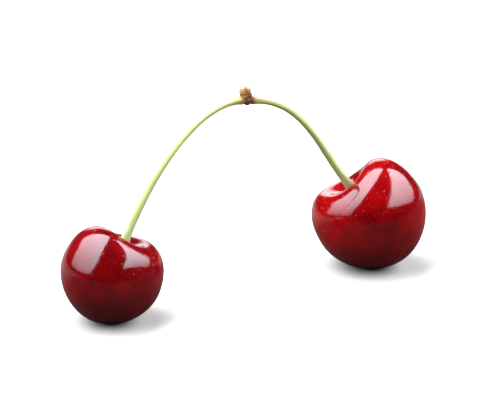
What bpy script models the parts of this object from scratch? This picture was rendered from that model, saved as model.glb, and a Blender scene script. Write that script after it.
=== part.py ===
"""Two sweet cherries that hang from one bud, as picked and set down on a table.

Each cherry is one solid fruit with its stem cavity, shoulders and suture. Its stem rises from the
floor of the cavity, and the two stems meet in the small woody knot that held them to the branch.
Metres, +Z up. The origin is on the table, at the middle of the footprint. +X runs from the small
cherry towards the large one, and -Y is the side that is seen first.
"""

import math
import random
from dataclasses import dataclass

import bmesh
import bpy
from mathutils import Matrix, Vector

# Where things meet without touching
CLEARANCE = 0.0003

# How the skin is faceted
TURNS = 40
RINGS = 38

# The table presses a small flat spot, this deep, into each fruit
FLAT_DEPTH = 0.0003

# Profile of a cherry: 2 is an ellipse, more is fuller, less is more pointed
CROWN_FULLNESS = 2.4
BASE_FULLNESS = 1.88
CAVITY_STEEPNESS = 3.0
SADDLE_RADIUS = 0.62  # of the half width
SUTURE_HALF_WIDTH = 0.0016
SUTURE_DEPTH = 0.00035
SCAR_RADIUS = 0.0012
SCAR_DEPTH = 0.0004

# The woody knot where both stems end
STEM_MEETING = Vector((-0.0002, 0.0020, 0.0451))
KNOT_AXIS = Vector((-0.22, 0.06, 1.0)).normalized()
KNOT_RISE = 0.0008  # the middle of the knot above the meeting of the stems
KNOT_RADIUS = 0.0013
KNOT_HEIGHT = 0.0040
KNOT_PIT_DEPTH = 0.0008
SCALE_COUNT = 8
SCALE_LENGTH = 0.0017
SCALE_WIDTH = 0.0014
SCALE_THICKNESS = 0.0006
SCALE_SEED = 7

# Thickness along a stem, as radii
STEM_SIDES_RESOLUTION = 2
STEM_POINTS = 34
STEM_FOOT_RADIUS = 0.00120
STEM_LOW_RADIUS = 0.00092
STEM_HIGH_RADIUS = 0.00070
STEM_TIP_RADIUS = 0.00095
FOOT_FLARE_LENGTH = 0.0016
TIP_FLARE_LENGTH = 0.0018


@dataclass(frozen=True)
class Fruit:
    """One cherry. Its own Z runs up the stem axis and its own X points at the suture."""

    name: str
    width: float  # across the two shoulders
    thickness: float  # from the suture to the side opposite it
    crown: float  # from the middle to where the top would be with no cavity
    base: float  # from the middle to the blossom end
    cavity_depth: float
    cavity_radius: float
    saddle: float  # how far the rim dips towards the suture, and rises at the shoulders
    place: tuple  # where it rests on the table, X and Y of its middle
    axis: tuple  # direction of the stem axis
    suture_side: tuple  # direction that the suture faces


@dataclass(frozen=True)
class Stem:
    """One stem: a cubic curve from the cavity floor of its fruit to the knot."""

    name: str
    leaves: tuple  # direction in which it leaves the cavity
    leaves_reach: float  # how far that direction holds
    arrives: tuple  # direction in which it reaches the knot
    arrives_reach: float


LARGE_FRUIT = Fruit(
    name="fruit_large",
    width=0.0266,
    thickness=0.0250,
    crown=0.0122,
    base=0.0131,
    cavity_depth=0.0047,
    cavity_radius=0.0048,
    saddle=0.0008,
    place=(0.0285, 0.0156),
    axis=(-0.575, 0.120, 0.809),
    suture_side=(0.15, 1.0, 0.0),
)
SMALL_FRUIT = Fruit(
    name="fruit_small",
    width=0.0234,
    thickness=0.0222,
    crown=0.0106,
    base=0.0112,
    cavity_depth=0.0036,
    cavity_radius=0.0040,
    saddle=0.0006,
    place=(-0.0302, -0.0169),
    axis=(0.374, 0.256, 0.892),
    suture_side=(-0.6, 0.8, 0.0),
)
LARGE_STEM = Stem(
    name="stem_large",
    leaves=(-0.605, -0.13, 0.785),
    leaves_reach=0.0130,
    arrives=(-0.924, -0.364, 0.119),
    arrives_reach=0.0128,
)
SMALL_STEM = Stem(
    name="stem_small",
    leaves=(0.361, 0.225, 0.905),
    leaves_reach=0.0122,
    arrives=(0.845, 0.527, -0.088),
    arrives_reach=0.0133,
)


def smooth_step(low, high, value):
    """0 below low, 1 above high, and an even S between them."""
    share = min(1.0, max(0.0, (value - low) / (high - low)))
    return share * share * (3.0 - 2.0 * share)


def skin_point(fruit, polar, turn):
    """A point of the skin, in the fruit's own frame.

    polar runs from 0 at the cavity to pi at the blossom end, and turn is 0 at the suture.
    """
    half_width = fruit.width / 2
    upward = math.cos(polar)
    fullness = BASE_FULLNESS + (CROWN_FULLNESS - BASE_FULLNESS) * smooth_step(-0.3, 0.6, upward)
    height = fruit.crown if upward > 0 else fruit.base
    reach = (
        abs(math.sin(polar)) ** fullness + abs(upward * half_width / height) ** fullness
    ) ** (-1 / fullness)
    outward = reach * math.sin(polar)
    radius = outward * half_width
    level = reach * upward * half_width

    crown = smooth_step(0.0, 0.45, upward)
    level -= crown * fruit.cavity_depth / (1 + (radius / fruit.cavity_radius) ** CAVITY_STEEPNESS)
    rim = (outward / SADDLE_RADIUS) ** 2
    level -= crown * fruit.saddle * math.cos(2 * turn) * rim * math.exp(1 - rim)

    away = turn * radius / SUTURE_HALF_WIDTH
    groove = SUTURE_DEPTH * math.exp(-away * away) * smooth_step(0.002, 0.006, radius)
    scar = (1 - smooth_step(0.0, SCAR_RADIUS, radius)) if upward < 0 else 0.0
    level += SCAR_DEPTH * scar
    return Vector((
        math.cos(turn) * (outward * fruit.thickness / 2 - groove),
        math.sin(turn) * (radius - groove),
        level,
    ))


def frame_towards(z_axis, x_hint):
    """A turn that carries Z onto z_axis and X as near to x_hint as it can be."""
    z = Vector(z_axis).normalized()
    x = Vector(x_hint)
    x = (x - x.dot(z) * z).normalized()
    return Matrix((x, z.cross(x), z)).transposed()


def material(name, colour, roughness):
    made = bpy.data.materials.new(name)
    made.use_nodes = True
    shader = made.node_tree.nodes["Principled BSDF"]
    shader.inputs["Base Color"].default_value = (*colour, 1.0)
    shader.inputs["Roughness"].default_value = roughness
    shader.inputs["Metallic"].default_value = 0.0
    return made


def link(name, data, parent, finish):
    made = bpy.data.objects.new(name, data)
    bpy.context.scene.collection.objects.link(made)
    made.parent = parent
    data.materials.append(finish)
    return made


def placed(fruit):
    """Where the fruit's own frame sits, with its lowest point FLAT_DEPTH under the table."""
    turned = frame_towards(fruit.axis, fruit.suture_side)
    lowest = min(
        (turned @ skin_point(fruit, math.pi * ring / RINGS, math.tau * side / TURNS)).z
        for ring in range(RINGS + 1)
        for side in range(TURNS)
    )
    return Matrix.Translation((*fruit.place, -lowest - FLAT_DEPTH)) @ turned.to_4x4()


def make_fruit(fruit, parent, finish):
    """A sphere moved onto the skin, with its resting spot cut flat by the table."""
    place = placed(fruit)
    mesh = bmesh.new()
    bmesh.ops.create_uvsphere(mesh, u_segments=TURNS, v_segments=RINGS, radius=1.0)
    for vertex in mesh.verts:
        polar = math.acos(max(-1.0, min(1.0, vertex.co.z)))
        vertex.co = skin_point(fruit, polar, math.atan2(vertex.co.y, vertex.co.x))
    to_own = place.inverted()
    cut = bmesh.ops.bisect_plane(
        mesh,
        geom=mesh.verts[:] + mesh.edges[:] + mesh.faces[:],
        dist=1e-7,
        plane_co=to_own @ Vector((0, 0, 0)),
        plane_no=to_own.to_3x3() @ Vector((0, 0, 1)),
        clear_inner=True,
    )
    rim = [part for part in cut["geom_cut"] if isinstance(part, bmesh.types.BMEdge)]
    bmesh.ops.holes_fill(mesh, edges=rim, sides=0)
    bmesh.ops.recalc_face_normals(mesh, faces=mesh.faces[:])
    data = bpy.data.meshes.new(fruit.name)
    mesh.to_mesh(data)
    mesh.free()
    data.shade_smooth()
    data.set_sharp_from_angle(angle=math.radians(40))
    made = link(fruit.name, data, parent, finish)
    made.matrix_world = place
    return made


def stem_radius(walked, length):
    """Radius of a stem at this distance from its foot: flared at both ends, slimmer towards the knot."""
    slim = STEM_LOW_RADIUS + (STEM_HIGH_RADIUS - STEM_LOW_RADIUS) * smooth_step(0, 0.6, walked / length)
    foot = (STEM_FOOT_RADIUS - STEM_LOW_RADIUS) * math.exp(-walked / FOOT_FLARE_LENGTH)
    tip = (STEM_TIP_RADIUS - STEM_HIGH_RADIUS) * math.exp((walked - length) / TIP_FLARE_LENGTH)
    return slim + foot + tip


def foot_lift(stem, fruit):
    """How far above the cavity floor a stem starts, so that its tilted foot clears the skin all round."""
    skin = [
        skin_point(fruit, math.pi * ring / 400, math.tau * side / 16)
        for ring in range(1, 60)
        for side in range(16)
    ]
    under = max(p.z for p in skin if math.hypot(p.x, p.y) < 1.1 * STEM_FOOT_RADIUS)
    tilt = Vector(stem.leaves).angle(Vector(fruit.axis))
    return CLEARANCE + under - skin_point(fruit, 0.0, 0.0).z + STEM_FOOT_RADIUS * math.sin(tilt)


def make_stem(stem, fruit, parent, finish):
    """A bevelled curve from just above the cavity floor to just short of the knot."""
    place = placed(fruit)
    axis = Vector(fruit.axis).normalized()
    arrives = Vector(stem.arrives).normalized()
    start = place @ skin_point(fruit, 0.0, 0.0) + foot_lift(stem, fruit) * axis
    end = STEM_MEETING - (0.92 * KNOT_RADIUS + CLEARANCE) * arrives
    controls = (
        start,
        start + stem.leaves_reach * Vector(stem.leaves).normalized(),
        end - stem.arrives_reach * arrives,
        end,
    )
    line = []
    for step in range(STEM_POINTS):
        share = step / (STEM_POINTS - 1)
        rest = 1 - share
        weights = (rest**3, 3 * rest**2 * share, 3 * rest * share**2, share**3)
        line.append(sum((w * c for w, c in zip(weights, controls)), Vector()))
    walked = [0.0]
    for before, after in zip(line, line[1:]):
        walked.append(walked[-1] + (after - before).length)

    curve = bpy.data.curves.new(stem.name, "CURVE")
    curve.dimensions = "3D"
    curve.bevel_depth = STEM_LOW_RADIUS
    curve.bevel_resolution = STEM_SIDES_RESOLUTION
    curve.use_fill_caps = True
    spline = curve.splines.new("POLY")
    spline.points.add(STEM_POINTS - 1)
    for point, spot, distance in zip(spline.points, line, walked):
        point.co = (*spot, 1.0)
        point.radius = stem_radius(distance, walked[-1]) / STEM_LOW_RADIUS
    print(f"{stem.name}: {walked[-1] * 1000:.1f} mm long")
    return link(stem.name, curve, parent, finish)


def make_knot_core(name):
    """The woody stub: a short barrel with a pit on top, where it broke from the branch."""
    mesh = bmesh.new()
    bmesh.ops.create_uvsphere(mesh, u_segments=16, v_segments=12, radius=1.0)
    for vertex in mesh.verts:
        side = math.atan2(vertex.co.y, vertex.co.x)
        upward = vertex.co.z
        out = math.hypot(vertex.co.x, vertex.co.y)
        radius = KNOT_RADIUS * (1 + 0.06 * math.cos(3 * side + 1) * out)
        pit = KNOT_PIT_DEPTH * max(0.0, upward) * (1 - smooth_step(0.1, 0.75, out))
        vertex.co = Vector((
            radius * math.cos(side) * out,
            radius * math.sin(side) * out,
            KNOT_HEIGHT / 2 * upward - pit,
        ))
    data = bpy.data.meshes.new(name)
    mesh.to_mesh(data)
    mesh.free()
    return data


def make_scale(name, length, width, lean, curl):
    """One bud scale: a blade that stands on the stub's shoulder, leans out and curls at its tip."""
    mesh = bmesh.new()
    across, along = 4, 5
    grid = []
    for row in range(along + 1):
        share = row / along
        half = width / 2 * math.sqrt(1 - 0.85 * share * share)
        bend = lean + curl * share
        out = math.sin(bend) * length * share
        up = math.cos(bend) * length * share
        line = []
        for column in range(across + 1):
            side = (2 * column / across - 1) * half
            hug = side * side / (2 * KNOT_RADIUS)
            line.append(mesh.verts.new((out - hug, side, up)))
        grid.append(line)
    for lower, upper in zip(grid, grid[1:]):
        for left in range(across):
            mesh.faces.new((lower[left], lower[left + 1], upper[left + 1], upper[left]))
    bmesh.ops.recalc_face_normals(mesh, faces=mesh.faces[:])
    bmesh.ops.solidify(mesh, geom=mesh.faces[:], thickness=SCALE_THICKNESS)
    bmesh.ops.recalc_face_normals(mesh, faces=mesh.faces[:])
    bmesh.ops.triangulate(mesh, faces=mesh.faces[:])
    data = bpy.data.meshes.new(name)
    mesh.to_mesh(data)
    mesh.free()
    return data


def make_knot(parent, finish):
    """The stub with its ring of bud scales, joined into one solid."""
    chance = random.Random(SCALE_SEED)
    centre = STEM_MEETING + KNOT_RISE * KNOT_AXIS
    place = Matrix.Translation(centre) @ frame_towards(KNOT_AXIS, (0, -1, 0)).to_4x4()
    knot = link("spur_knot", make_knot_core("spur_knot"), parent, finish)
    knot.matrix_world = place
    scales = bpy.data.collections.new("bud_scales")
    bpy.context.scene.collection.children.link(scales)
    for number in range(SCALE_COUNT):
        turn = math.tau * (number + chance.uniform(-0.2, 0.2)) / SCALE_COUNT
        data = make_scale(
            f"scale_{number}",
            SCALE_LENGTH * chance.uniform(0.8, 1.15),
            SCALE_WIDTH * chance.uniform(0.85, 1.1),
            lean=math.radians(chance.uniform(2, 16)),
            curl=math.radians(chance.uniform(10, 38)),
        )
        scale = bpy.data.objects.new(data.name, data)
        scales.objects.link(scale)
        root = Matrix.Translation((KNOT_RADIUS * 0.72, 0, KNOT_HEIGHT * chance.uniform(0.13, 0.20)))
        scale.matrix_world = place @ Matrix.Rotation(turn, 4, "Z") @ root
    union = knot.modifiers.new("join_scales", "BOOLEAN")
    union.operation = "UNION"
    union.operand_type = "COLLECTION"
    union.collection = scales
    union.solver = "EXACT"
    bpy.context.view_layer.update()
    graph = bpy.context.evaluated_depsgraph_get()
    joined = bpy.data.meshes.new_from_object(knot.evaluated_get(graph))
    joined.shade_smooth()
    joined.set_sharp_from_angle(angle=math.radians(40))
    knot.modifiers.clear()
    knot.data = joined
    for scale in list(scales.objects):
        bpy.data.objects.remove(scale)
    bpy.data.collections.remove(scales)
    return knot


def main():
    for old in list(bpy.data.objects):
        bpy.data.objects.remove(old)
    pair = bpy.data.objects.new("cherry_pair", None)
    bpy.context.scene.collection.objects.link(pair)

    red_skin = material("red_skin", (0.26, 0.006, 0.012), 0.12)
    dark_skin = material("dark_skin", (0.20, 0.005, 0.010), 0.12)
    green_stem = material("green_stem", (0.42, 0.50, 0.16), 0.45)
    brown_wood = material("brown_wood", (0.33, 0.17, 0.06), 0.80)

    make_fruit(LARGE_FRUIT, pair, red_skin)
    make_fruit(SMALL_FRUIT, pair, dark_skin)
    make_stem(LARGE_STEM, LARGE_FRUIT, pair, green_stem)
    make_stem(SMALL_STEM, SMALL_FRUIT, pair, green_stem)
    make_knot(pair, brown_wood)


main()
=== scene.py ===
# %% [markdown]
# # A pair of sweet cherries
#
# Two ripe cherries that grew from one bud, picked with their stems still joined and set down on a pale
# table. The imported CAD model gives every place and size. Each piece is rebuilt around it, with a finer
# surface and a finish worked out from the real thing: waxy fruit skin, fresh green stem and dry bark.

import math
import random
from dataclasses import dataclass

import bpy
import numpy as np
from mathutils import Matrix, Vector, noise


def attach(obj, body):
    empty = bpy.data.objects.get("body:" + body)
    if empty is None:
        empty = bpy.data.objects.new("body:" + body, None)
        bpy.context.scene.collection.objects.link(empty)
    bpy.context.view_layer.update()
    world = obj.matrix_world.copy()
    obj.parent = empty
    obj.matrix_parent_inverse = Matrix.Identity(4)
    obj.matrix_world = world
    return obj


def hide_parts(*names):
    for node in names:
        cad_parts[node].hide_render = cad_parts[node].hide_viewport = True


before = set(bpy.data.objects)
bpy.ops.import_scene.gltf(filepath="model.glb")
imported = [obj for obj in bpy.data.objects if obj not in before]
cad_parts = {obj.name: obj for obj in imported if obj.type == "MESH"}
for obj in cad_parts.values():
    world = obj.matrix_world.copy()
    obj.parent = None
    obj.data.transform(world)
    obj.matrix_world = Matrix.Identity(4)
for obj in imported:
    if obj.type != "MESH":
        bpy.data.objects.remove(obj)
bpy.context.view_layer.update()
print("nodes:", sorted(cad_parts))

# %% [markdown]
# ## Helpers
#
# Real sizes read best in millimetres, while Blender works in metres, so one constant turns the first into
# the second. Colours are hex values, as on a screen, and one function turns them to the linear values that
# light is reckoned in. One more function adds a shader node with its settings and links.

# %% Units and colours
MM = 0.001


def linear(hex_colour):
    """An sRGB hex colour as linear red, green, blue and alpha."""
    channels = [int(hex_colour[i : i + 2], 16) / 255 for i in (1, 3, 5)]
    return (*(c / 12.92 if c <= 0.04045 else ((c + 0.055) / 1.055) ** 2.4 for c in channels), 1.0)


def per_metre(pattern_mm):
    """The scale of a pattern whose features are this many millimetres apart."""
    return 1 / (pattern_mm * MM)


# %% Nodes and materials
PLUS = {"operation": "ADD"}
TIMES = {"operation": "MULTIPLY"}
TIMES_PLUS = {"operation": "MULTIPLY_ADD"}
COLOURS = {"data_type": "RGBA"}  # a Mix node then takes its two colours at inputs 6 and 7


def connect(tree, node, inputs):
    """Gives each input, by its name or by _ and its number, a value or another node's output. From and To
    take a pair, for the two ends of a range."""
    for key, value in inputs.items():
        if key in ("From", "To"):
            connect(tree, node, {key + " Min": value[0], key + " Max": value[1]})
            continue
        socket = node.inputs[int(key[1:]) if key[1:].isdigit() else key.replace("_", " ")]
        if isinstance(value, bpy.types.NodeSocket):
            tree.links.new(value, socket)
        else:
            socket.default_value = value


def add_node(tree, kind, settings=None, stops=(), ease="EASE", **inputs):
    """One shader node with its settings and inputs, and for a ramp its stops, as positions and hex colours.
    It gives back the node's outputs, ready to be linked."""
    node = tree.nodes.new("ShaderNode" + kind)
    for key, value in (settings or {}).items():
        setattr(node, key, value)
    for number, (position, hex_colour) in enumerate(stops):
        ramp = node.color_ramp
        ramp.interpolation = ease
        middle = 0 < number < len(stops) - 1
        stop = ramp.elements.new(position) if middle else ramp.elements[-1 if number else 0]
        stop.position = position
        stop.color = linear(hex_colour)
    connect(tree, node, inputs)
    return node.outputs


def new_material(name):
    """An empty Principled material: the material, its node tree and its shader."""
    made = bpy.data.materials.new(name)
    made.use_nodes = True
    return made, made.node_tree, made.node_tree.nodes["Principled BSDF"]


# %% [markdown]
# ## The shape of a cherry
#
# A cherry is nearly a sphere, but what makes it a cherry is where it isn't: the deep cavity that the stem
# grows from, the two shoulders beside it, the base that narrows a little, and the faint suture down one
# side. It could be sculpted, but a formula keeps it true to the CAD solid, which was made from the same
# numbers, and can be as fine as the gloss needs, which would show every facet.

# %% The two fruits and their measures
@dataclass(frozen=True)
class Fruit:
    """One cherry. Its own Z runs up the stem axis and its own X points at the suture."""

    node: str
    slot: str
    width: float  # across the two shoulders
    thickness: float  # from the suture to the side opposite it
    crown: float  # from the middle to where the top would be with no cavity
    base: float  # from the middle to the blossom end
    cavity_depth: float
    cavity_radius: float
    saddle: float  # how far the rim dips towards the suture, and rises at the shoulders
    place: tuple  # where it rests on the table, X and Y of its middle
    axis: tuple  # direction of the stem axis
    suture_side: tuple  # direction that the suture faces
    seed: int


LARGE_FRUIT = Fruit(
    node="fruit_large",
    slot="red_skin",
    width=26.6 * MM,
    thickness=25.0 * MM,
    crown=12.2 * MM,
    base=13.1 * MM,
    cavity_depth=4.7 * MM,
    cavity_radius=4.8 * MM,
    saddle=0.8 * MM,
    place=(28.5 * MM, 15.6 * MM),
    axis=(-0.575, 0.120, 0.809),
    suture_side=(0.15, 1.0, 0.0),
    seed=3,
)
SMALL_FRUIT = Fruit(
    node="fruit_small",
    slot="dark_skin",
    width=23.4 * MM,
    thickness=22.2 * MM,
    crown=10.6 * MM,
    base=11.2 * MM,
    cavity_depth=3.6 * MM,
    cavity_radius=4.0 * MM,
    saddle=0.6 * MM,
    place=(-30.2 * MM, -16.9 * MM),
    axis=(0.374, 0.256, 0.892),
    suture_side=(-0.6, 0.8, 0.0),
    seed=8,
)

# %% [markdown]
# The formula starts from a squashed ball, fuller at the crown than at the base. It then sinks the cavity,
# lifts the two shoulders, cuts the suture groove and dents the blossom end. Each of these fades out
# smoothly, because a crease would show in the gloss.

# %% The skin formula
CROWN_FULLNESS = 2.4  # 2 is an ellipse, more is fuller, less is more pointed
BASE_FULLNESS = 1.88
FULLNESS_BLEND = (-0.3, 0.6)  # from base to crown, as the cosine of the angle from the stem axis
CROWN_BLEND = (0.0, 0.45)
CAVITY_STEEPNESS = 3.0
SADDLE_RADIUS = 0.62  # where the shoulders are highest, as a share of the half width
SUTURE_HALF_WIDTH = 1.6 * MM
SUTURE_DEPTH = 0.35 * MM
SUTURE_START = (2 * MM, 6 * MM)  # it fades in outside the cavity
SCAR_RADIUS = 1.2 * MM
SCAR_DEPTH = 0.4 * MM


def smooth_step(low, high, value):
    """0 below low, 1 above high, and an even S between them."""
    share = np.clip((value - low) / (high - low), 0.0, 1.0)
    return share * share * (3.0 - 2.0 * share)


def skin_points(fruit, polar, turn):
    """Points of the skin in the fruit's own frame, for arrays of polar angle and turn."""
    half_width = fruit.width / 2
    upward = np.cos(polar)
    fullness = BASE_FULLNESS + (CROWN_FULLNESS - BASE_FULLNESS) * smooth_step(*FULLNESS_BLEND, upward)
    height = np.where(upward > 0, fruit.crown, fruit.base)
    reach = (
        np.abs(np.sin(polar)) ** fullness + np.abs(upward * half_width / height) ** fullness
    ) ** (-1 / fullness)
    outward = reach * np.sin(polar)
    radius = outward * half_width
    level = reach * upward * half_width
    crown = smooth_step(*CROWN_BLEND, upward)
    level = level - crown * fruit.cavity_depth / (1 + (radius / fruit.cavity_radius) ** CAVITY_STEEPNESS)
    rim = (outward / SADDLE_RADIUS) ** 2
    level = level - crown * fruit.saddle * np.cos(2 * turn) * rim * np.exp(1 - rim)
    away = turn * radius / SUTURE_HALF_WIDTH
    groove = SUTURE_DEPTH * np.exp(-away * away) * smooth_step(*SUTURE_START, radius)
    scar = (1 - smooth_step(0.0, SCAR_RADIUS, radius)) * (upward < 0)
    return np.stack(
        [
            np.cos(turn) * (outward * fruit.thickness / 2 - groove),
            np.sin(turn) * (radius - groove),
            level + SCAR_DEPTH * scar,
        ],
        axis=-1,
    )


# %% [markdown]
# Each fruit leans the way its stem pulls it. It is turned to its axis and then lowered until the table
# presses a small flat spot into it, as in the CAD solid.

# %% Set a fruit down
FLAT_DEPTH = 0.3 * MM
POLAR_SAMPLES = 181
TURN_SAMPLES = 180


def frame_towards(z_axis, x_hint):
    """A turn that carries Z onto z_axis and X as near to x_hint as it can be."""
    z = Vector(z_axis).normalized()
    x = Vector(x_hint)
    x = (x - x.dot(z) * z).normalized()
    return Matrix((x, z.cross(x), z)).transposed()


def resting_place(fruit):
    """Where the fruit's own frame sits, so that the table presses FLAT_DEPTH into its lowest point."""
    polars = np.linspace(0, math.pi, POLAR_SAMPLES)
    turns = np.linspace(-math.pi, math.pi, TURN_SAMPLES)
    turned = frame_towards(fruit.axis, fruit.suture_side)
    heights = skin_points(fruit, *np.meshgrid(polars, turns)) @ np.array(turned)[2]
    return Matrix.Translation((*fruit.place, -heights.min() - FLAT_DEPTH)) @ turned.to_4x4()


for fruit in (LARGE_FRUIT, SMALL_FRUIT):
    print(fruit.node, "has its middle", round(resting_place(fruit).translation.z / MM, 2), "mm up")

# %% [markdown]
# ## Skins made ring by ring
#
# Fruits, stems and the stub of the knot are all round, so each is a skin through rings of points. A Screw
# modifier or a bevelled curve would be quicker, but rings worked out in code can be as uneven as a living
# thing. Patterns have to follow a piece however it leans, so each point also keeps the place that it had
# before the piece was turned or bent.

# %% Closed skins and pieces
OWN_FRAME = "own_frame"  # each point's place in its piece's own upright frame


def round_mesh(name, rows):
    """A closed skin through rows of points. Its faces point outwards where the rows go down."""
    sides = len(rows[1])
    points = [tuple(rows[0][0])] + [tuple(p) for row in rows[1:-1] for p in row] + [tuple(rows[-1][0])]
    last = len(points) - 1
    faces = [(0, 1 + s, 1 + (s + 1) % sides) for s in range(sides)]
    for ring in range(len(rows) - 3):
        low = 1 + ring * sides
        for s in range(sides):
            t = (s + 1) % sides
            faces.append((low + s, low + sides + s, low + sides + t, low + t))
    low = last - sides
    faces += [(low + s, last, low + (s + 1) % sides) for s in range(sides)]
    mesh = bpy.data.meshes.new(name)
    mesh.from_pydata(points, [], faces)
    mesh.update()
    mesh.shade_smooth()
    return mesh


def keep_on_points(mesh, name, kind, values):
    """Keeps one value for each point of a mesh, where its material can read it by name."""
    layer = mesh.attributes.new(name, kind, "POINT")
    layer.data.foreach_set("vector" if kind == "FLOAT_VECTOR" else "value", np.ravel(values))


def add_piece(name, mesh, node):
    """Puts a mesh into the scene as a piece that rides on the root body and stands for a CAD node."""
    piece = bpy.data.objects.new(name, mesh)
    bpy.context.scene.collection.objects.link(piece)
    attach(piece, "root")
    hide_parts(node)
    return piece


# %% [markdown]
# ## The grown fruit
#
# A grown fruit is never as smooth as its formula. Wide, low swellings bend the reflections, the skin
# gathers into soft puckers round the stem, and a few little pits are left by rain and by its neighbours.
# These are moved into the mesh itself, along its normals, because a bump texture wouldn't bend an outline.

# %% How uneven a skin is
SWELLING_WIDE = 15 * MM
SWELLING_HEIGHT = 0.16 * MM
RIPPLE_WIDE = 3.6 * MM
RIPPLE_HEIGHT = 0.018 * MM
PUCKER_DEPTH = 0.04 * MM
PUCKER_REACH = 1.1  # how far from the stem the puckers go, in cavity radii
PUCKERS_ROUND = 2.6  # how closely they follow each other round the stem
PIT_COUNT = 9
PIT_LEVELS = (-0.75, 0.8)  # from near the blossom end to the shoulders, as cosines
PIT_WIDE = (0.35 * MM, 0.60 * MM)
PIT_DEEP = (0.015 * MM, 0.04 * MM)
PIT_END = 3  # how many widths from its middle a pit ends
SEED_STEP = 7.1  # moves the noise on, so that no two fruits share a pattern


def draw_pits(chance):
    """A few pits: the direction of each from the middle of the fruit, its width and its depth."""
    pits = []
    for _ in range(PIT_COUNT):
        upward = chance.uniform(*PIT_LEVELS)
        spin = chance.uniform(-math.pi, math.pi)
        flat = math.sqrt(1 - upward * upward)
        aim = Vector((flat * math.cos(spin), flat * math.sin(spin), upward))
        pits.append((aim, chance.uniform(*PIT_WIDE), chance.uniform(*PIT_DEEP)))
    return pits


def pucker(fruit, spot):
    """How far the skin is gathered up or down at a spot round the stem."""
    share = math.hypot(spot.x, spot.y) / (PUCKER_REACH * fruit.cavity_radius)
    if spot.z <= 0 or share >= 1:
        return 0.0
    spin = math.atan2(spot.y, spot.x)
    round_it = Vector((PUCKERS_ROUND * math.cos(spin), PUCKERS_ROUND * math.sin(spin), fruit.seed))
    return PUCKER_DEPTH * math.sin(math.pi * share) ** 2 * noise.noise(round_it)


def rise(fruit, spot, pits):
    """How far the grown skin stands out from the formula at a spot."""
    shift = Vector((fruit.seed * SEED_STEP, 0, 0))
    swelling = noise.noise(spot / SWELLING_WIDE + shift) * SWELLING_HEIGHT
    ripple = noise.noise(spot / RIPPLE_WIDE + shift) * RIPPLE_HEIGHT
    aim = spot.normalized()
    dent = 0.0
    for middle, wide, deep in pits:
        away = (aim - middle).length * spot.length / wide
        if away < PIT_END:
            dent += deep * math.exp(-away * away)
    return swelling + ripple + pucker(fruit, spot) - dent


# %% [markdown]
# The fruit is built upright in its own frame, made uneven, and then set down where it rests, where the
# table flattens what would go through it.

# %% Build a fruit
FRUIT_RINGS = 190
FRUIT_SIDES = 220


def build_fruit(fruit):
    pits = draw_pits(random.Random(fruit.seed))
    turns = np.linspace(-math.pi, math.pi, FRUIT_SIDES, endpoint=False)
    polars = np.linspace(0, math.pi, FRUIT_RINGS)
    rows = [skin_points(fruit, np.full(FRUIT_SIDES, polar), turns) for polar in polars]
    mesh = round_mesh(fruit.node + "_skin", rows)
    offsets = [vertex.normal * rise(fruit, vertex.co, pits) for vertex in mesh.vertices]
    for vertex, offset in zip(mesh.vertices, offsets):
        vertex.co += offset
    keep_on_points(mesh, OWN_FRAME, "FLOAT_VECTOR", [vertex.co for vertex in mesh.vertices])
    mesh.transform(resting_place(fruit))
    for vertex in mesh.vertices:
        vertex.co.z = max(vertex.co.z, 0.0)
    mesh.update()
    return add_piece(fruit.node + "_skin", mesh, fruit.node)


FRUITS = {fruit: build_fruit(fruit) for fruit in (LARGE_FRUIT, SMALL_FRUIT)}
for piece in FRUITS.values():
    print(piece.name, "has", len(piece.data.polygons), "faces")

# %% [markdown]
# ## Cherry skin
#
# Ripe cherry skin is a thin layer of deep red cells under a clear film of wax. The wax mirrors the lights
# sharply, with an IOR near 1.45, while the colour comes from light that goes through the skin, scatters in
# the flesh under it and comes back red. That red is never even: it lies in wide soft patches, with darker
# streaks from stem to blossom end and fine bright flecks. One noise texture could stand for all three, but
# each has its own real size, so each has its own texture.

# %% Colour of the flesh under the skin
MOTTLE_MM = 7.0
STREAK_MM = 2.2
STREAK_SQUEEZE = 0.22  # draws the streaks out along the stem axis
FLECK_MM = 0.55


def flesh_colour(tree, place, mottle, deep, ripe, bright):
    tones = [(0.30, deep), (0.52, ripe), (0.72, bright)]
    colour = add_node(tree, "ValToRGB", stops=tones, Fac=mottle)["Color"]
    drawn_out = add_node(tree, "Mapping", Vector=place, Scale=(1.0, 1.0, STREAK_SQUEEZE))["Vector"]
    streaks = add_node(
        tree, "TexNoise", Vector=drawn_out, Scale=per_metre(STREAK_MM), Detail=4.0, Roughness=0.6
    )["Fac"]
    flecks = add_node(
        tree, "TexNoise", Vector=place, Scale=per_metre(FLECK_MM), Detail=2.0, Roughness=0.5
    )["Fac"]
    for spots, limits, most, tint in (
        (streaks, (0.50, 0.72), 0.55, deep),
        (flecks, (0.50, 0.68), 0.35, bright),
    ):
        share = add_node(tree, "MapRange", Value=spots, From=limits, To=(0.0, most))["Result"]
        colour = add_node(tree, "Mix", COLOURS, _0=share, _6=colour, _7=linear(tint))[2]
    return colour


# %% [markdown]
# Seen close, the skin carries hundreds of lenticels, the pale dots through which the fruit breathes. Real
# ones are about 0.15 mm across, too fine to show in a picture of the whole pair. The small ones are drawn
# up to 0.4 mm across and 0.75 mm apart here, with larger dents 1.7 mm apart. They are corky, so they break
# the gloss as well as the colour, and they fade towards the blossom end.

# %% Lenticels
LENTICEL_APART_MM = 0.75
LENTICEL_EDGE = (0.10, 0.26)  # where a dot starts to fade and where it ends, as shares of the spacing
LARGE_LENTICEL_APART_MM = 1.7
LARGE_LENTICEL_EDGE = (0.03, 0.13)
LENTICEL_FADE = (-5 * MM, 3 * MM)  # heights over which they grow to their full strength
FAINTEST = 0.3


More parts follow.
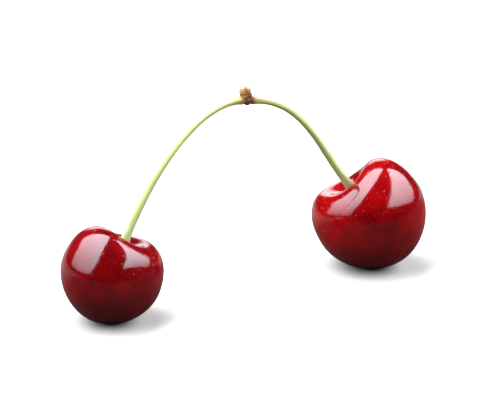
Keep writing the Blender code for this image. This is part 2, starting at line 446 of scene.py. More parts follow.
def lenticel_dots(tree, place, height, speckled):
    """The small dots, each with a strength of its own. Speckled is how strongly they show on this fruit."""
    cells = add_node(tree, "TexVoronoi", Vector=place, Scale=per_metre(LENTICEL_APART_MM), Randomness=0.9)
    draw = add_node(tree, "SeparateColor", Color=cells["Color"])["Red"]
    dot = add_node(tree, "MapRange", Value=cells["Distance"], From=LENTICEL_EDGE, To=(1.0, 0.0))["Result"]
    fading = add_node(
        tree, "MapRange", Value=height, From=LENTICEL_FADE, To=(FAINTEST * speckled, speckled)
    )["Result"]
    strong = add_node(tree, "Math", TIMES, _0=draw, _1=fading)["Value"]
    return add_node(tree, "Math", TIMES, _0=dot, _1=strong)["Value"]


def large_lenticels(tree, place):
    far_apart = add_node(
        tree, "TexVoronoi", Vector=place, Scale=per_metre(LARGE_LENTICEL_APART_MM), Randomness=1.0
    )["Distance"]
    return add_node(tree, "MapRange", Value=far_apart, From=LARGE_LENTICEL_EDGE, To=(1.0, 0.0))["Result"]


# %% [markdown]
# A fine dark line follows the bottom of the suture, and a dry brown dot marks the blossom end, where the
# flower sat. The fruit's own Z is its stem axis and its own X faces the suture, so both marks are found
# from its axes.

# %% Suture line and blossom scar
SUTURE_LINE = (0.05 * MM, 0.35 * MM)  # half widths of the dark line and of its soft edge
SUTURE_LINE_SHARE = 0.55
SUTURE_LINE_START = (2 * MM, 5 * MM)
SCAR_MARK = (0.3 * MM, 0.6 * MM)  # radii of the brown dot and of its soft edge


def suture_line(tree, own):
    aside = add_node(tree, "Math", {"operation": "ABSOLUTE"}, _0=own["Y"])["Value"]
    line = add_node(tree, "MapRange", Value=aside, From=SUTURE_LINE, To=(SUTURE_LINE_SHARE, 0.0))["Result"]
    this_side = add_node(tree, "MapRange", Value=own["X"], From=SUTURE_LINE_START, To=(0.0, 1.0))["Result"]
    return add_node(tree, "Math", TIMES, _0=line, _1=this_side)["Value"]


def blossom_scar(tree, place, own):
    seen_from_above = add_node(tree, "VectorMath", TIMES, _0=place, _1=(1.0, 1.0, 0.0))["Vector"]
    away = add_node(tree, "VectorMath", {"operation": "LENGTH"}, _0=seen_from_above)["Value"]
    disc = add_node(tree, "MapRange", Value=away, From=SCAR_MARK, To=(1.0, 0.0))["Result"]
    below = add_node(tree, "Math", {"operation": "LESS_THAN"}, _0=own["Z"], _1=0.0)["Value"]
    return add_node(tree, "Math", TIMES, _0=disc, _1=below)["Value"]


# %% [markdown]
# The finish puts these together. The wax gives the eye its sharp windows of light, a little sharper where
# the patches are deep. Fine pores and the sunken lenticels break the edges of those windows, and a short,
# red-tinted scattering softens the shadows as flesh does.

# %% Skin finish
PORE_MM = 0.30
WAX_IOR = 1.45
WAX_ROUGHNESS = (0.075, 0.12)  # over the deep patches and over the bright ones
LENTICEL_COLOUR = "#B8504C"
LENTICEL_COLOUR_SHARE = 0.12
LENTICEL_SINK = -3.8  # against the height of the pores
LARGE_LENTICEL_SINK = -9.0
LENTICEL_DULLNESS = 0.38
SCAR_COLOUR = "#7A5636"
SCAR_DULLNESS = 0.45
SEED_SHIFT = 0.13
FLESH_SCATTER = 1.6 * MM


def cherry_skin(name, deep, ripe, bright, speckled, seed):
    """Waxed skin over flesh of three reds. The seed gives each fruit a pattern of its own."""
    made, tree, shader = new_material(name)
    own_place = add_node(tree, "Attribute", {"attribute_name": OWN_FRAME})["Vector"]
    own = add_node(tree, "SeparateXYZ", Vector=own_place)
    place = add_node(tree, "VectorMath", PLUS, _0=own_place, _1=(seed * SEED_SHIFT, 0.0, 0.0))["Vector"]
    mottle = add_node(
        tree, "TexNoise", Vector=place, Scale=per_metre(MOTTLE_MM), Detail=3.0, Roughness=0.55
    )["Fac"]
    lenticels = lenticel_dots(tree, place, own["Z"], speckled)
    scar = blossom_scar(tree, own_place, own)

    colour = flesh_colour(tree, place, mottle, deep, ripe, bright)
    lenticel_share = add_node(tree, "Math", TIMES, _0=lenticels, _1=LENTICEL_COLOUR_SHARE)["Value"]
    marks = ((lenticel_share, LENTICEL_COLOUR), (suture_line(tree, own), deep), (scar, SCAR_COLOUR))
    for share, tint in marks:
        colour = add_node(tree, "Mix", COLOURS, _0=share, _6=colour, _7=linear(tint))[2]

    relief = add_node(
        tree, "TexNoise", Vector=place, Scale=per_metre(PORE_MM), Detail=2.0, Roughness=0.5
    )["Fac"]
    for dots, sink in ((lenticels, LENTICEL_SINK), (large_lenticels(tree, place), LARGE_LENTICEL_SINK)):
        relief = add_node(tree, "Math", TIMES_PLUS, _0=dots, _1=sink, _2=relief)["Value"]
    bump = add_node(tree, "Bump", Strength=0.35, Distance=0.02 * MM, Height=relief)["Normal"]

    gloss = add_node(tree, "MapRange", Value=mottle, From=(0.3, 0.7), To=WAX_ROUGHNESS)["Result"]
    corky = add_node(tree, "Math", TIMES_PLUS, _0=lenticels, _1=LENTICEL_DULLNESS, _2=gloss)["Value"]
    dull = add_node(
        tree, "Math", {"operation": "MULTIPLY_ADD", "use_clamp": True}, _0=scar, _1=SCAR_DULLNESS, _2=corky
    )["Value"]
    connect(tree, shader, {
        "Base Color": colour,
        "Roughness": dull,
        "Normal": bump,
        "IOR": WAX_IOR,
        "Subsurface Weight": 0.12,
        "Subsurface Radius": (1.0, 0.12, 0.08),
        "Subsurface Scale": FLESH_SCATTER,
    })
    return made


RED_SKIN = cherry_skin("waxed_red_cherry_skin", "#580204", "#720204", "#880407", speckled=1.0, seed=1)
DARK_SKIN = cherry_skin("waxed_dark_cherry_skin", "#480204", "#600205", "#760308", speckled=0.55, seed=2)
FRUITS[LARGE_FRUIT].data.materials.append(RED_SKIN)
FRUITS[SMALL_FRUIT].data.materials.append(DARK_SKIN)
print("skins:", RED_SKIN.name, "and", DARK_SKIN.name)

# %% [markdown]
# ## Stems
#
# A cherry stem is a fresh green stalk, 1.4 to 1.8 mm thick. It widens into a little foot where it holds the
# fruit and again where it grew from the spur. Its line is one cubic curve, as in the CAD solid, and it goes
# on a little at both ends: down into the floor of the cavity and into the knot, so that no gap shows there.

# %% The stem lines
CLEARANCE = 0.3 * MM  # between the CAD solids
STEM_FOOT_RADIUS = 1.20 * MM
STEM_LOW_RADIUS = 0.92 * MM
STEM_HIGH_RADIUS = 0.70 * MM
STEM_TIP_RADIUS = 0.95 * MM
STEM_MEETING = Vector((-0.2, 2.0, 45.1)) * MM
KNOT_RADIUS = 1.3 * MM
KNOT_SIDE = 0.92  # where a stem meets the knot's side, as a share of its radius
FLOOR_POLAR = 0.47  # how far out the cavity floor is searched, as an angle from the stem axis
FLOOR_SAMPLES = (60, 16)
FOOT_MARGIN = 1.1
SUNK_LENGTH = 0.3 * MM
SUNK_STEPS = (1.0, 0.75, 0.5, 0.25)
BURIED_LENGTH = 0.9 * MM
BURIED_STEPS = (0.2, 0.4, 0.6, 0.8, 0.92, 0.98)


@dataclass(frozen=True)
class Stem:
    """One stem: a cubic curve from the cavity floor of its fruit to the knot."""

    node: str
    fruit: Fruit
    leaves: tuple
    leaves_reach: float
    arrives: tuple
    arrives_reach: float
    seed: int


LARGE_STEM = Stem(
    node="stem_large",
    fruit=LARGE_FRUIT,
    leaves=(-0.605, -0.13, 0.785),
    leaves_reach=13.0 * MM,
    arrives=(-0.924, -0.364, 0.119),
    arrives_reach=12.8 * MM,
    seed=21,
)
SMALL_STEM = Stem(
    node="stem_small",
    fruit=SMALL_FRUIT,
    leaves=(0.361, 0.225, 0.905),
    leaves_reach=12.2 * MM,
    arrives=(0.845, 0.527, -0.088),
    arrives_reach=13.3 * MM,
    seed=34,
)


def foot_lift(stem):
    """How far above the cavity floor a stem starts, so that its wide foot clears the skin round it."""
    polars = np.linspace(0, FLOOR_POLAR, FLOOR_SAMPLES[0])
    turns = np.linspace(-math.pi, math.pi, FLOOR_SAMPLES[1])
    skin = skin_points(stem.fruit, *np.meshgrid(polars, turns)).reshape(-1, 3)
    near = skin[np.hypot(skin[:, 0], skin[:, 1]) < FOOT_MARGIN * STEM_FOOT_RADIUS]
    tilt = Vector(stem.leaves).angle(Vector(stem.fruit.axis))
    return CLEARANCE + float(np.ptp(near[:, 2])) + STEM_FOOT_RADIUS * math.sin(tilt)


def stem_line(stem, count):
    """Points along a stem, how far each is from its foot, and the length of the stem."""
    floor = Vector(skin_points(stem.fruit, np.zeros(1), np.zeros(1))[0])
    lift = foot_lift(stem)
    leaves = Vector(stem.leaves).normalized()
    arrives = Vector(stem.arrives).normalized()
    start = resting_place(stem.fruit) @ floor + lift * Vector(stem.fruit.axis).normalized()
    end = STEM_MEETING - (KNOT_SIDE * KNOT_RADIUS + CLEARANCE) * arrives
    controls = (start, start + stem.leaves_reach * leaves, end - stem.arrives_reach * arrives, end)
    line = []
    for step in range(count):
        share = step / (count - 1)
        rest = 1 - share
        weights = (rest**3, 3 * rest**2 * share, 3 * rest * share**2, share**3)
        line.append(sum((w * c for w, c in zip(weights, controls)), Vector()))
    sunk = [start - leaves * (lift + SUNK_LENGTH) * s for s in SUNK_STEPS]
    buried = [end + arrives * BURIED_LENGTH * s for s in BURIED_STEPS]
    walked = [0.0]
    for before, after in zip(line, line[1:]):
        walked.append(walked[-1] + (after - before).length)
    length = walked[-1]
    before_foot = [-(start - point).length for point in sunk]
    past_tip = [length + (point - end).length for point in buried]
    return sunk + line + buried, before_foot + walked + past_tip, length


# %% [markdown]
# The stalk has faint ribs and slight knobs along it. A bevelled curve would be perfectly round, so the tube
# is built ring by ring round its line, and each ring carries the ribs and knobs in its own points.

# %% Build a stem
STEM_SIDES = 32
STEM_RINGS = 230
FOOT_FLARE_LENGTH = 1.6 * MM
TIP_FLARE_LENGTH = 1.8 * MM
SLIM_BY = 0.6  # the share of its length by which a stem is at its slimmest
RIB_COUNT = 5
RIB_SHARE = 0.025  # heights as shares of the radius
OVAL_SHARE = 0.03
KNOB_SHARE = 0.05
KNOB_LENGTH = 2.4 * MM
TWIST_PER_MM = 0.06
ALONG_STEM = "along_stem"  # how far up its stem each point is, from 0 at the foot to 1 at the knot


def stem_radius(walked, length):
    """Radius of a stem at this distance from its foot: flared at both ends, slimmer towards the knot."""
    slim = STEM_LOW_RADIUS + (STEM_HIGH_RADIUS - STEM_LOW_RADIUS) * smooth_step(0, SLIM_BY, walked / length)
    foot = (STEM_FOOT_RADIUS - STEM_LOW_RADIUS) * math.exp(-max(0.0, walked) / FOOT_FLARE_LENGTH)
    tip = (STEM_TIP_RADIUS - STEM_HIGH_RADIUS) * math.exp(min(0.0, walked - length) / TIP_FLARE_LENGTH)
    sunk = max(0.0, walked - length) / BURIED_LENGTH
    return (float(slim) + foot + tip) * math.sqrt(1 - sunk * sunk)


def uneven_round(stem, walked, spin):
    """How far a stem stands out at this height and turn, as a share of its radius."""
    twist = TWIST_PER_MM * walked / MM + stem.seed
    ribs = RIB_SHARE * math.cos(RIB_COUNT * spin + twist)
    oval = OVAL_SHARE * math.cos(2 * spin - 0.5 * twist)
    knobs = KNOB_SHARE * noise.noise(Vector((walked / KNOB_LENGTH, stem.seed, math.cos(spin) * 0.6)))
    return 1 + ribs + oval + knobs


def build_stem(stem):
    line, walked, length = stem_line(stem, STEM_RINGS)
    side = (line[1] - line[0]).orthogonal().normalized()
    rows = [[line[0]]]
    straight = [(0.0, 0.0, walked[0])]
    for i, spot in enumerate(line):
        ahead = (line[min(i + 1, len(line) - 1)] - line[max(i - 1, 0)]).normalized()
        side = (side - side.dot(ahead) * ahead).normalized()
        other = ahead.cross(side)
        radius = stem_radius(walked[i], length)
        ring = []
        for s in range(STEM_SIDES):
            spin = math.tau * s / STEM_SIDES
            out = radius * uneven_round(stem, walked[i], spin)
            ring.append(spot + (side * math.cos(spin) + other * math.sin(spin)) * out)
            straight.append((out * math.cos(spin), out * math.sin(spin), walked[i]))
        rows.append(ring)
    rows.append([line[-1]])
    straight.append((0.0, 0.0, walked[-1]))
    mesh = round_mesh(stem.node + "_stalk", rows)
    mesh.flip_normals()  # these rows climb, so their faces would point inwards
    keep_on_points(mesh, OWN_FRAME, "FLOAT_VECTOR", straight)
    keep_on_points(mesh, ALONG_STEM, "FLOAT", [place[2] / length for place in straight])
    print(stem.node, "is", round(length / MM, 1), "mm long")
    return add_piece(stem.node + "_stalk", mesh, stem.node)


STEMS = {stem: build_stem(stem) for stem in (LARGE_STEM, SMALL_STEM)}

# %% [markdown]
# ## Fresh green stalk
#
# The stalk is living tissue under a thin cuticle, so it is satin and not shiny, and a little light goes
# through it. It is fresh green along most of its length, yellower towards the knot, and brown where it
# dries at its tip. Brown lenticels are scattered over it, and fine fibres run along it. Real fibres are
# about 0.12 mm apart, and they are drawn 0.22 mm apart here, as coarse as they need to be to show.

# %% Stalk finish
FIBRE_MM = 0.22
FIBRE_LONG_MM = 4.5
BLOTCH_MM = 3.0
BLOTCH_SHARE = 0.07  # how far the blotches push the change of colour up and down the stem
STALK_SPECK_APART_MM = 0.9
STALK_SCATTER = 1.1 * MM
STALK_TONES = [
    (0.00, "#A6A276"),
    (0.04, "#A9B980"),
    (0.22, "#AEBA76"),
    (0.70, "#B6BE80"),
    (0.93, "#B7B47E"),
    (0.978, "#A8965C"),
    (1.00, "#8A6038"),
]


def green_stalk(name):
    made, tree, shader = new_material(name)
    place = add_node(tree, "Attribute", {"attribute_name": OWN_FRAME})["Vector"]
    along = add_node(tree, "Attribute", {"attribute_name": ALONG_STEM})["Fac"]
    blotches = add_node(
        tree, "TexNoise", Vector=place, Scale=per_metre(BLOTCH_MM), Detail=3.0, Roughness=0.6
    )["Fac"]
    wander = add_node(tree, "Math", TIMES_PLUS, _0=blotches, _1=BLOTCH_SHARE, _2=-BLOTCH_SHARE / 2)["Value"]
    height = add_node(tree, "Math", PLUS, _0=along, _1=wander)["Value"]
    colour = add_node(tree, "ValToRGB", stops=STALK_TONES, Fac=height)["Color"]

    drawn_out = add_node(tree, "Mapping", Vector=place, Scale=(1.0, 1.0, FIBRE_MM / FIBRE_LONG_MM))["Vector"]
    fibres = add_node(
        tree, "TexNoise", Vector=drawn_out, Scale=per_metre(FIBRE_MM), Detail=4.0, Roughness=0.65
    )["Fac"]
    cells = add_node(
        tree, "TexVoronoi", Vector=place, Scale=per_metre(STALK_SPECK_APART_MM), Randomness=1.0
    )["Distance"]
    for spots, limits, shares, tint in (
        (fibres, (0.45, 0.75), (0.0, 0.5), "#8F9754"),
        (cells, (0.10, 0.20), (0.55, 0.0), "#6B5A2C"),
    ):
        share = add_node(tree, "MapRange", Value=spots, From=limits, To=shares)["Result"]
        colour = add_node(tree, "Mix", COLOURS, _0=share, _6=colour, _7=linear(tint))[2]
    bump = add_node(tree, "Bump", Strength=0.35, Distance=0.05 * MM, Height=fibres)["Normal"]
    connect(tree, shader, {
        "Base Color": colour,
        "Normal": bump,
        "Roughness": 0.42,
        "IOR": 1.42,
        "Subsurface Weight": 0.7,
        "Subsurface Radius": (0.95, 1.0, 0.35),
        "Subsurface Scale": STALK_SCATTER,
    })
    return made


STALK = green_stalk("fresh_green_stalk")
for piece in STEMS.values():
    piece.data.materials.append(STALK)
print("stems:", STALK.name)

# %% [markdown]
# ## The knot
#
# Both stems grew from one bud on a short spur. When they were picked, the tip of the spur came off with
# them: a woody stub hardly thicker than a match, ringed with the dry scales that once wrapped the bud. The
# stub is a rough barrel with a pit on top where it broke. A displaced cylinder would do from far off, but
# rings of points give it three blunt corners, rings of scars and a ragged rim at once.

# %% Build the stub
KNOT_AXIS = Vector((-0.22, 0.06, 1.0)).normalized()
KNOT_RISE = 0.8 * MM
KNOT_HEIGHT = 4.0 * MM
KNOT_PIT_DEPTH = 0.8 * MM
KNOT_PLACE = (
    Matrix.Translation(STEM_MEETING + KNOT_RISE * KNOT_AXIS) @ frame_towards(KNOT_AXIS, (0, -1, 0)).to_4x4()
)
STUB_RINGS = 60
STUB_SIDES = 72
CORNER_SHARE = 0.07  # heights as shares of the stub's radius
BARK_SHARE = 0.05
SCAR_RING_SHARE = 0.03
SCAR_RING_MM = 0.16
BARK_MM = 0.5
RAGGED_HEIGHT = 0.12 * MM


def stub_point(polar, spin):
    """One point of the stub's bark, at this angle from its top and this turn round it."""
    out = math.sin(polar)
    upward = math.cos(polar)
    height = KNOT_HEIGHT / 2 * upward
    bark = CORNER_SHARE * math.cos(3 * spin + 1) * out
    grain = Vector((math.cos(spin) * 2.5, math.sin(spin) * 2.5, height / (BARK_MM * MM)))
    bark += BARK_SHARE * noise.noise(grain)
    bark += SCAR_RING_SHARE * math.sin(height / (SCAR_RING_MM * MM)) * out
    radius = KNOT_RADIUS * (1 + bark) * out
    pit = KNOT_PIT_DEPTH * max(0.0, upward) * (1 - float(smooth_step(0.1, 0.75, out)))
    rim = Vector((out * 5 * math.cos(spin), out * 5 * math.sin(spin), 4.0))
    ragged = RAGGED_HEIGHT * max(0.0, upward) * noise.noise(rim)
    return KNOT_PLACE @ Vector((radius * math.cos(spin), radius * math.sin(spin), height - pit + ragged))


def build_stub():
    polars = [math.pi * ring / STUB_RINGS for ring in range(STUB_RINGS + 1)]
    spins = [math.tau * s / STUB_SIDES for s in range(STUB_SIDES)]
    rows = [[stub_point(polar, spin) for spin in spins] for polar in polars]
    return add_piece("spur_stub", round_mesh("spur_stub", rows), "spur_knot")


SPUR_STUB = build_stub()
print("the stub has", len(SPUR_STUB.data.polygons), "faces")

# %% [markdown]
# Each bud scale is a thin pointed blade of its own, hugging the stub at its root, frayed at its edges and
# curled by drying. A plane with a Solidify modifier would be simpler, but it throws up spikes where a blade
# curls tightly, so each blade has a front and a back of its own, joined round the edge.

# %% One bud scale
SCALE_THICKNESS = 0.14 * MM
SCALE_COLUMNS = 8
SCALE_ROWS = 14
TIP_REACH = 0.97  # stops just short of a perfect point
WAVY_SHARE = 0.35
FRAY_HEIGHT = 0.13 * MM
FRAY_WIDE = 0.22 * MM
HUG_RADIUS = 1.1 * KNOT_RADIUS


def blade(length, width, lean, curl, seed):
    """Rows of points on both sides of one dry scale: pointed, ragged, leaning out and curled."""
    front, back = [], []
    for row in range(SCALE_ROWS + 1):
        share = row / SCALE_ROWS
        wavy = 1 + WAVY_SHARE * noise.noise(Vector((share * 6, seed, 0)))
        half = width / 2 * (1 - (TIP_REACH * share) ** 1.8) ** 0.9 * wavy
        bend = lean + curl * share * share
        outwards = Vector((math.cos(bend), 0, -math.sin(bend)))
        for column in range(SCALE_COLUMNS + 1):
            across = 2 * column / SCALE_COLUMNS - 1
            side = across * half
            fray = FRAY_HEIGHT * noise.noise(Vector((side / FRAY_WIDE, share * 8, seed * 3.3))) * share
            out = math.sin(bend) * length * share - side * side / (2 * HUG_RADIUS) + fray
            spot = Vector((out, side, math.cos(bend) * length * share + fray))
            thick = SCALE_THICKNESS / 2 * (1 - 0.55 * share) * (1 - 0.6 * across * across)
            front.append(spot + outwards * thick)
            back.append(spot - outwards * thick)
    return front, back


def blade_faces(start):
    """Closed faces round a blade whose front points and then back points begin at start."""
    line = SCALE_COLUMNS + 1
    behind = start + line * (SCALE_ROWS + 1)
    faces = []
    for row in range(SCALE_ROWS):
        for column in range(SCALE_COLUMNS):
            a = row * line + column
            b, c, d = a + 1, a + line + 1, a + line
            faces.append((start + a, start + b, start + c, start + d))
            faces.append((behind + d, behind + c, behind + b, behind + a))
    for row in range(SCALE_ROWS):
        a, d = row * line, (row + 1) * line
        faces.append((start + d, behind + d, behind + a, start + a))
        a, d = a + SCALE_COLUMNS, d + SCALE_COLUMNS
        faces.append((start + a, behind + a, behind + d, start + d))
    for column in range(SCALE_COLUMNS):
        a, b = column, column + 1
        faces.append((start + b, start + a, behind + a, behind + b))
        a, b = a + SCALE_ROWS * line, b + SCALE_ROWS * line
        faces.append((start + a, start + b, behind + b, behind + a))
    return faces


# %% [markdown]
# The scales stand in four tiers round the stub, placed by a rule with a seeded draw. Two tiers of broad
# blades wrap its upper half, short ones sit lower down between the stems, and a tuft of narrow ones fills
# the top.

# %% Build the bud scales
ALONG_SCALE = "along_scale"  # from 0 at a scale's root to 1 at its tip
SCALE_SHADE = "scale_shade"  # each scale's own draw, for a shade of its own
SCALE_SEED = 7
SPIN_SPREAD = 0.3  # how unevenly the scales of a tier are spaced, as a share of the spacing
ROOT_SPREAD = 0.2
LENGTH_SPREAD = (0.6, 1.12)
WIDTH_SPREAD = (0.7, 1.15)


@dataclass(frozen=True)
class Tier:
    """A ring of scales. Lean and curl are ranges in degrees that each scale draws from."""

    count: int
    foot: float  # height of the roots above the middle of the knot
    away: float  # distance of the roots from the knot's axis
    length: float
    width: float
    lean: tuple
    curl: tuple


TIERS = (
    Tier(8, 0.55 * MM, 1.10 * MM, length=1.9 * MM, width=1.45 * MM, lean=(-2, 20), curl=(-6, 44)),
    Tier(7, 0.95 * MM, 0.90 * MM, length=1.6 * MM, width=1.15 * MM, lean=(-8, 10), curl=(-10, 30)),
    Tier(6, -0.10 * MM, 1.28 * MM, length=1.3 * MM, width=1.1 * MM, lean=(4, 14), curl=(0, 30)),
    Tier(16, 1.05 * MM, 0.62 * MM, length=1.1 * MM, width=0.36 * MM, lean=(-22, 26), curl=(-30, 50)),
)


def build_scales():
    chance = random.Random(SCALE_SEED)
    points, faces, shades = [], [], []
    for order, tier in enumerate(TIERS):
        for number in range(tier.count):
            step = number + 0.5 * (order % 2) + chance.uniform(-SPIN_SPREAD, SPIN_SPREAD)
            spin = math.tau * step / tier.count
            foot = tier.foot + chance.uniform(-ROOT_SPREAD, ROOT_SPREAD) * MM
            root = Matrix.Translation((tier.away, 0, foot))
            place = KNOT_PLACE @ Matrix.Rotation(spin, 4, "Z") @ root
            front, back = blade(
                tier.length * chance.uniform(*LENGTH_SPREAD),
                tier.width * chance.uniform(*WIDTH_SPREAD),
                math.radians(chance.uniform(*tier.lean)),
                math.radians(chance.uniform(*tier.curl)),
                seed=order * 20 + number,
            )
            faces += blade_faces(len(points))
            points += [place @ spot for spot in front + back]
            shades.append(chance.random())
    mesh = bpy.data.meshes.new("bud_scales")
    mesh.from_pydata(points, [], faces)
    mesh.update()
    mesh.shade_smooth()
    one_side = np.repeat(np.linspace(0, 1, SCALE_ROWS + 1), SCALE_COLUMNS + 1)
    keep_on_points(mesh, ALONG_SCALE, "FLOAT", np.tile(one_side, 2 * len(shades)))
    keep_on_points(mesh, SCALE_SHADE, "FLOAT", np.repeat(shades, 2 * len(one_side)))
    print(len(shades), "bud scales have", len(mesh.polygons), "faces")
    return add_piece("bud_scales", mesh, "spur_knot")


BUD_SCALES = build_scales()

# %% [markdown]
# ## Bark and bud scales
#
# Spur bark is dull and dark, with paler cracks about half a millimetre apart. Dry plant tissue scatters
# light in its many air gaps, so it is rough, with an ordinary IOR near 1.45 and hardly a highlight. Cracks
# this small need no mesh of their own: one noise can both colour and raise them.

# %% Bark finish
DRY_PLANT_IOR = 1.45
BARK_GRAIN_MM = 0.5
BARK_RELIEF = 0.10 * MM
BARK_TONES = [(0.30, "#2A0F06"), (0.50, "#673414"), (0.70, "#B07842")]


def spur_bark(name):
    made, tree, shader = new_material(name)
    place = add_node(tree, "TexCoord")["Object"]
    grain = add_node(
        tree, "TexNoise", Vector=place, Scale=per_metre(BARK_GRAIN_MM), Detail=5.0, Roughness=0.65
    )["Fac"]
    colour = add_node(tree, "ValToRGB", stops=BARK_TONES, ease="LINEAR", Fac=grain)["Color"]
    bump = add_node(tree, "Bump", Strength=0.8, Distance=BARK_RELIEF, Height=grain)["Normal"]
    connect(tree, shader, {"Base Color": colour, "Normal": bump, "Roughness": 0.85, "IOR": DRY_PLANT_IOR})
    return made


SPUR_STUB.data.materials.append(spur_bark("cracked_spur_bark"))

# %% [markdown]
# The scales are papery: chestnut brown at their roots, and tan to cream at their thin edges and tips. No
# two have dried to quite the same shade, so each reads its own draw, and about two in five are browned.

# %% Bud scale finish
SCALE_GRAIN_MM = 0.45
SCALE_RELIEF = 0.04 * MM
SCALE_TONES = [(0.05, "#5A2A10"), (0.33, "#A56230"), (0.58, "#CC985A"), (0.90, "#E6CFA0")]
BROWNED = "#552A10"
BROWNED_FROM = 0.6
BROWNED_SHARE = 0.6


def papery_scale(name):
    made, tree, shader = new_material(name)
    place = add_node(tree, "TexCoord")["Object"]
    from_root = add_node(tree, "Attribute", {"attribute_name": ALONG_SCALE})["Fac"]
    shade = add_node(tree, "Attribute", {"attribute_name": SCALE_SHADE})["Fac"]
    grain = add_node(
        tree, "TexNoise", Vector=place, Scale=per_metre(SCALE_GRAIN_MM), Detail=5.0, Roughness=0.65
    )["Fac"]
    aged = add_node(tree, "Math", {"operation": "SUBTRACT"}, _0=grain, _1=0.5)["Value"]
    along = add_node(tree, "Math", PLUS, _0=from_root, _1=aged)["Value"]
    tone = add_node(tree, "ValToRGB", stops=SCALE_TONES, ease="LINEAR", Fac=along)["Color"]
    browned = add_node(
        tree, "MapRange", Value=shade, From=(BROWNED_FROM, 1.0), To=(0.0, BROWNED_SHARE)
    )["Result"]
    colour = add_node(tree, "Mix", COLOURS, _0=browned, _6=tone, _7=linear(BROWNED))[2]
    bump = add_node(tree, "Bump", Strength=0.8, Distance=SCALE_RELIEF, Height=grain)["Normal"]
    connect(tree, shader, {"Base Color": colour, "Normal": bump, "Roughness": 0.7, "IOR": DRY_PLANT_IOR})
    return made


BUD_SCALES.data.materials.append(papery_scale("papery_bud_scale"))
print("knot:", SPUR_STUB.active_material.name, "and", BUD_SCALES.active_material.name)

# %% [markdown]
# ## The table
#
# The pair lies on a matte, pale table. The camera sees it burnt out to white. Skin this glossy would mirror
# that white all over the lower half of each fruit, so to mirrored rays the table carries painted shade, much
# darker, and behind the pair a painted pool of light. The light that it throws back up under the fruits and
# stems lies between the two. One plain grey couldn't do all three, so the Light Path node tells the kinds of
# ray apart.

# %% Table
TABLE_HALF = 1.5
TABLE_TINT = (1.0, 0.91, 0.82)  # warm, against the cool panels
TABLE_SEEN = 0.45
TABLE_BOUNCE = 0.08
# Mirrored rays see painted shade on the table in front of the pair, turning to a painted pool of light
# behind it across the band below.
TABLE_MIRRORED_PAINTED_SHADE_AND_LIGHT = (0.038, 0.15)  # in front of the pair and behind it
BACKWARDS = (-0.487, 0.874, 0.0)
PAINTED_LIGHT_BAND = (18 * MM, 50 * MM)  # where, going backwards, the mirrored table grows lighter


def matte_pale_table(name):
    made, tree, shader = new_material(name)
    place = add_node(tree, "TexCoord")["Object"]
    back = add_node(tree, "VectorMath", {"operation": "DOT_PRODUCT"}, _0=place, _1=BACKWARDS)["Value"]
    # Painted shade in front of the pair and painted light behind it, for mirrored rays.
    value = add_node(tree, "MapRange", Value=back, From=PAINTED_LIGHT_BAND, To=TABLE_MIRRORED_PAINTED_SHADE_AND_LIGHT)["Result"]
    rays = add_node(tree, "LightPath")
    for kind_of_ray, brightness in (("Is Diffuse Ray", TABLE_BOUNCE), ("Is Camera Ray", TABLE_SEEN)):
        value = add_node(tree, "Mix", _0=rays[kind_of_ray], _2=value, _3=brightness)[0]
    colour = add_node(tree, "VectorMath", {"operation": "SCALE"}, _0=TABLE_TINT, Scale=value)["Vector"]
    connect(tree, shader, {"Base Color": colour, "Roughness": 0.9, "Specular IOR Level": 0.0})
    return made


def build_table():
    mesh = bpy.data.meshes.new("table_top")
    signs = ((-1, -1), (1, -1), (1, 1), (-1, 1))
    mesh.from_pydata([(x * TABLE_HALF, y * TABLE_HALF, 0) for x, y in signs], [], [(0, 1, 2, 3)])
    mesh.materials.append(matte_pale_table("matte_pale_table"))
    table = bpy.data.objects.new("table_top", mesh)
    bpy.context.scene.collection.objects.link(table)


build_table()

# %% [markdown]
# ## The lights
#
# Two large soft panels light the pair from both sides. They lean together overhead and leave a gap towards
# the camera. On skin this glossy the lights are half of the look: each panel shows as a bright window, and
# the dark gap between them as a red arch. Area lights are square or round, so these panels are glowing
# meshes. Each is given by the directions of its corners, because from a thing as small as a cherry only the
# direction of a light matters. They are hidden from the camera itself.

# %% Soft panels
PANEL_DISTANCE = 0.9
PANEL_MIDDLE = Vector((0, 0, 14 * MM))  # the corners' directions start from here
PANEL_LOW = 2.2  # radiance low at the sides, where the cloth is farther from its lamp
PANEL_FADE = (0.15, 0.95)  # the heights between which the glow rises, as sines
PANEL_TINT = "#E9F2FF"


def soft_panel(name, facing, corners, high):
    """A glowing flat panel through the given corner directions, square to the direction it faces. Its glow
    rises from PANEL_LOW at the sides to high overhead."""
    facing = Vector(facing).normalized()
    aims = [Vector(corner).normalized() for corner in corners]
    points = [PANEL_MIDDLE + aim * (PANEL_DISTANCE / aim.dot(facing)) for aim in aims]
    mesh = bpy.data.meshes.new(name)
    mesh.from_pydata(points, [], [tuple(range(len(points)))])
    made = bpy.data.materials.new(name)
    made.use_nodes = True
    tree = made.node_tree
    tree.nodes.clear()
    spot = add_node(tree, "TexCoord")["Object"]
    aim = add_node(tree, "VectorMath", {"operation": "NORMALIZE"}, _0=spot)["Vector"]
    height = add_node(tree, "SeparateXYZ", Vector=aim)["Z"]
    strength = add_node(tree, "MapRange", Value=height, From=PANEL_FADE, To=(PANEL_LOW, high))["Result"]
    glow = add_node(tree, "Emission", Color=linear(PANEL_TINT), Strength=strength)
    add_node(tree, "OutputMaterial", Surface=glow["Emission"])
    mesh.materials.append(made)
    panel = bpy.data.objects.new(name, mesh)
    bpy.context.scene.collection.objects.link(panel)
    panel.visible_camera = False
    print(name, "has", len(points), "corners")


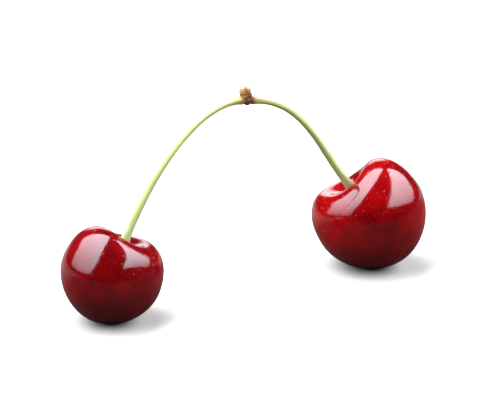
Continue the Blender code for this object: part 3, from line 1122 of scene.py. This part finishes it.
soft_panel(
    "left_panel",
    facing=(-0.70, 0.13, 0.70),
    corners=[
        (0.19, 0.47, 0.86), (0.0, -0.06, 1.0), (-0.24, -0.42, 0.875), (-0.45, -0.66, 0.60),
        (-0.68, -0.69, 0.24), (-0.85, -0.50, 0.17), (-0.975, 0.17, 0.12), (-0.86, 0.30, 0.40),
        (-0.68, 0.54, 0.50), (-0.30, 0.52, 0.80),
    ],
    high=15.5,
)
soft_panel(
    "right_panel",
    facing=(0.75, 0.02, 0.66),
    corners=[
        (0.36, 0.50, 0.79), (0.62, 0.0, 0.785), (0.64, -0.38, 0.67), (0.53, -0.73, 0.43),
        (0.86, -0.36, 0.34), (0.97, 0.21, 0.14), (0.66, 0.67, 0.35),
    ],
    high=19.0,
)

# %% [markdown]
# The room is dim, with a bright stretch of wall straight behind the table. It lights little, but glossy
# skin mirrors it in the rims of the fruits, which keeps their edges from going black. It is drawn in the
# world's own nodes, by direction, because that needs no mesh. To the camera the room is plain white, like
# the table.

# %% Room light
WALL_LIGHT = 3.4
ROOM_LIGHT = 0.025
WALL_LEFT = 0.07  # how far left the middle of the wall lies, in X of the direction to it


def build_room():
    world = bpy.data.worlds.new("studio")
    bpy.context.scene.world = world
    world.use_nodes = True
    tree = world.node_tree
    tree.nodes.clear()
    direction = add_node(tree, "TexCoord")["Generated"]
    aim = add_node(tree, "SeparateXYZ", Vector=direction)
    shifted = add_node(tree, "Math", PLUS, _0=aim["X"], _1=WALL_LEFT)["Value"]
    aside = add_node(tree, "Math", {"operation": "ABSOLUTE"}, _0=shifted)["Value"]
    wall = add_node(tree, "Math", {"operation": "GREATER_THAN"}, _0=aim["Y"], _1=0.0)["Value"]  # only behind
    edges = (
        (aside, 0.14, 0.26, 1.0, 0.0),  # its sides
        (aim["Z"], 0.30, 0.44, 1.0, 0.0),  # its top
        (aim["Z"], 0.0, 0.13, 0.1, 1.0),  # its foot
    )
    for measure, start, stop, first, last in edges:
        edge = add_node(tree, "MapRange", Value=measure, From=(start, stop), To=(first, last))["Result"]
        wall = add_node(tree, "Math", TIMES, _0=wall, _1=edge)["Value"]
    strength = add_node(tree, "Math", TIMES_PLUS, _0=wall, _1=WALL_LIGHT, _2=ROOM_LIGHT)["Value"]
    camera_ray = add_node(tree, "LightPath")["Is Camera Ray"]
    shown = add_node(tree, "Mix", _0=camera_ray, _2=strength, _3=1.0)[0]
    glow = add_node(tree, "Background", Color=(1, 1, 1, 1), Strength=shown)["Background"]
    add_node(tree, "OutputWorld", Surface=glow)


build_room()
bpy.context.scene.view_settings.view_transform = "Standard"
print("room light:", ROOM_LIGHT, "and", WALL_LIGHT, "on the wall behind")

# %% [markdown]
# ## The camera
#
# The camera looks down at the angle of somebody sitting at the table, from 60 cm away. A long lens from
# there keeps both cherries in proportion, where a wide one close up would swell the nearer one.

# %% Camera
CAMERA_ELEVATION = math.radians(20.5)
CAMERA_DISTANCE = 0.60
CAMERA_TARGET = Vector((0.5, 0.0, 22.0)) * MM
FRAME_WIDTH = 113 * MM  # what the picture spans at the pair
SENSOR = 36.0
CLIP_START = 0.01


def build_camera():
    data = bpy.data.cameras.new("camera")
    camera = bpy.data.objects.new("camera", data)
    bpy.context.scene.collection.objects.link(camera)
    back = Vector((0, -math.cos(CAMERA_ELEVATION), math.sin(CAMERA_ELEVATION)))
    camera.location = CAMERA_TARGET + back * CAMERA_DISTANCE
    camera.rotation_euler = (-back).to_track_quat("-Z", "Y").to_euler()
    data.sensor_width = SENSOR
    data.lens = SENSOR * CAMERA_DISTANCE / FRAME_WIDTH
    data.clip_start = CLIP_START
    bpy.context.scene.camera = camera
    print("lens in mm:", round(data.lens, 1))


build_camera()

# %% [markdown]
# ## Bringing the scene up to date
#
# Blender works out once more where every piece stands.

# %% Update the scene
bpy.context.view_layer.update()
